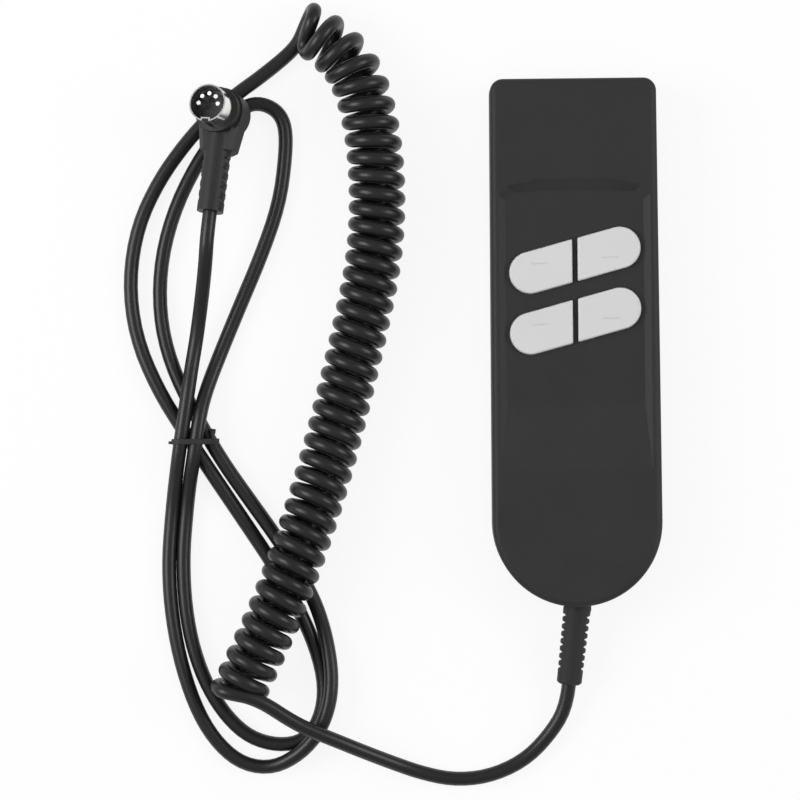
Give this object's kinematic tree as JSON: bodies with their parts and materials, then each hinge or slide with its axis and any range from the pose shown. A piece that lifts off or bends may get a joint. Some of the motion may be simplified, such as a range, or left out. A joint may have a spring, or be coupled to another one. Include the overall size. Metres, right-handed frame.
{
  "type": "wired hand controller",
  "caption": "Slim dark handset with light slanted key pairs, ribbed strain relief, curly cord, tied loops and a right-angle round keyed plug.",
  "frame": {"origin": "middle of the handset's back face, cord left out", "axes": "+X to the handset's right, +Y to its top end, +Z out of the key face"},
  "size_m": [0.1855, 0.2697, 0.0306],
  "materials": {
    "case_plastic": "fine moulded texture",
    "key_plastic": "smooth satin",
    "plunger_plastic": "smooth",
    "switch_plastic": "smooth",
    "terminal_metal": "tinned",
    "screw_steel": "zinc plated",
    "board_laminate": "solder mask",
    "connector_plastic": "smooth",
    "core_insulation": "smooth",
    "cord_jacket": "satin",
    "relief_rubber": "matte",
    "plug_moulding": "fine moulded texture",
    "plug_metal": "bright nickel",
    "insert_plastic": "smooth",
    "pin_metal": "bright nickel",
    "tie_plastic": "smooth"
  },
  "bodies": {
    "housing": {"front_shell": "case_plastic", "rear_shell": "case_plastic", "switch_cases": "switch_plastic", "switch_terminals": "terminal_metal", "board_screws": "screw_steel", "case_screws": "screw_steel", "circuit_board": "board_laminate", "board_connector": "connector_plastic", "core_wires": "core_insulation", "cord_stub": "cord_jacket", "cord_lead": "cord_jacket", "cord_coil": "cord_jacket", "cord_loops": "cord_jacket", "strain_relief": "relief_rubber", "plug_body": "plug_moulding", "plug_shell": "plug_metal", "plug_insert": "insert_plastic", "plug_pins": "pin_metal", "twist_tie": "tie_plastic"},
    "upper_left_key": {"upper_left_key": "key_plastic", "upper_left_plunger": "plunger_plastic"},
    "upper_right_key": {"upper_right_key": "key_plastic", "upper_right_plunger": "plunger_plastic"},
    "lower_left_key": {"lower_left_key": "key_plastic", "lower_left_plunger": "plunger_plastic"},
    "lower_right_key": {"lower_right_key": "key_plastic", "lower_right_plunger": "plunger_plastic"}
  },
  "joints": [
    {"name": "upper_left_press", "type": "slide", "parent": "housing", "child": "upper_left_key", "axis": [0, 0, -1], "range_m": [0, 0.0008], "stiffness_N_per_m": 900},
    {"name": "upper_right_press", "type": "slide", "parent": "housing", "child": "upper_right_key", "axis": [0, 0, -1], "range_m": [0, 0.0008], "stiffness_N_per_m": 900},
    {"name": "lower_left_press", "type": "slide", "parent": "housing", "child": "lower_left_key", "axis": [0, 0, -1], "range_m": [0, 0.0008], "stiffness_N_per_m": 900},
    {"name": "lower_right_press", "type": "slide", "parent": "housing", "child": "lower_right_key", "axis": [0, 0, -1], "range_m": [0, 0.0008], "stiffness_N_per_m": 900}
  ]
}
